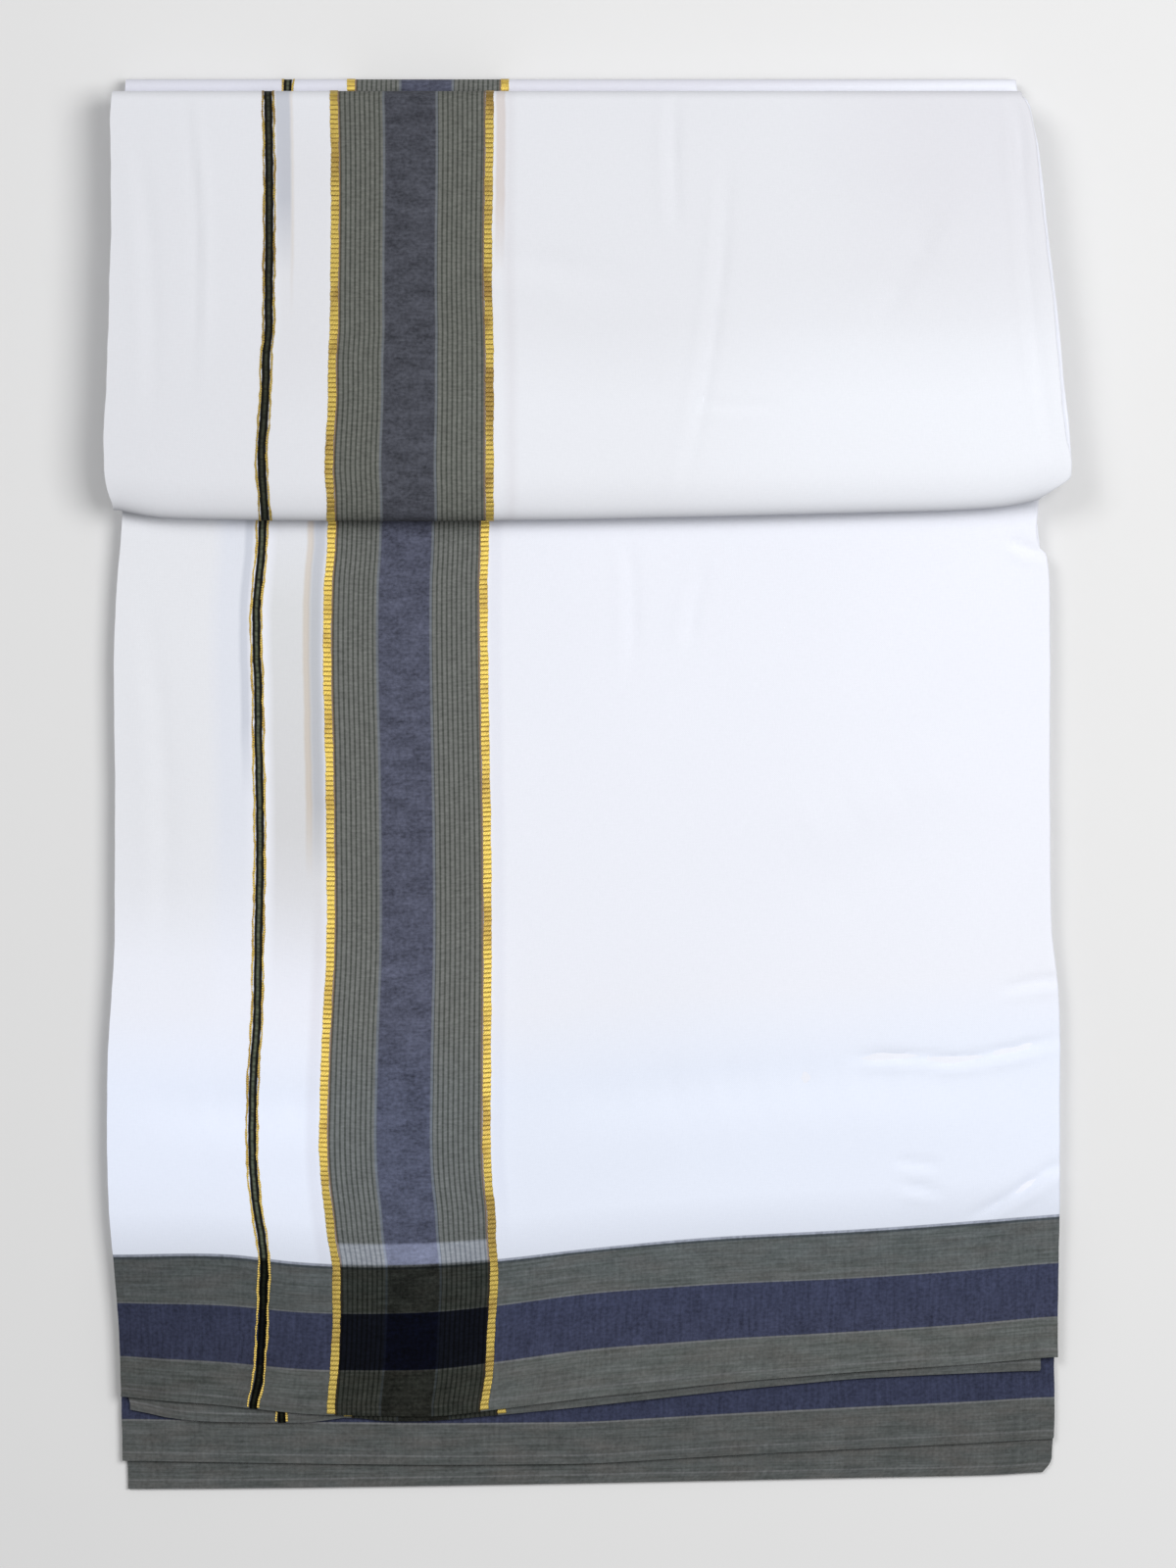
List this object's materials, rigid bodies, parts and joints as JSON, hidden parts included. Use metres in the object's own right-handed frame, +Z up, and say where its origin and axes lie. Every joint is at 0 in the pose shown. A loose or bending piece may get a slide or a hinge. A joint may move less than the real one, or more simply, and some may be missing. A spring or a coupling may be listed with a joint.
{
  "type": "folded dhoti cloth",
  "caption": "White cotton dhoti folded flat, its striped grey and blue borders edged in gold thread, with a thick folded bundle over a long tail whose plies end in steps.",
  "frame": {"origin": "centre of the footprint, on the surface that the folded cloth lies on", "axes": "+X to the right across the folded strip, towards its lengthwise folds; +Y along the strip from the stepped near ends to the far fold; +Z up"},
  "size_m": [0.3222, 0.474, 0.0208],
  "materials": {
    "white_cotton": "fine plain-woven white cotton, matt, with woven grey, blue and black stripes",
    "border_cotton": "grey and blue striped cotton of the end border, matt",
    "gold_zari": "ribbed gold metallic thread, bright satin"
  },
  "bodies": {
    "root": {"bottom_leaf": "border_cotton", "lower_leaf": "border_cotton", "lower_fill": "white_cotton", "under_leaf": "white_cotton", "tail_leaf": "white_cotton", "front_fill": "white_cotton", "front_leaf": "white_cotton"}
  },
  "joints": []
}
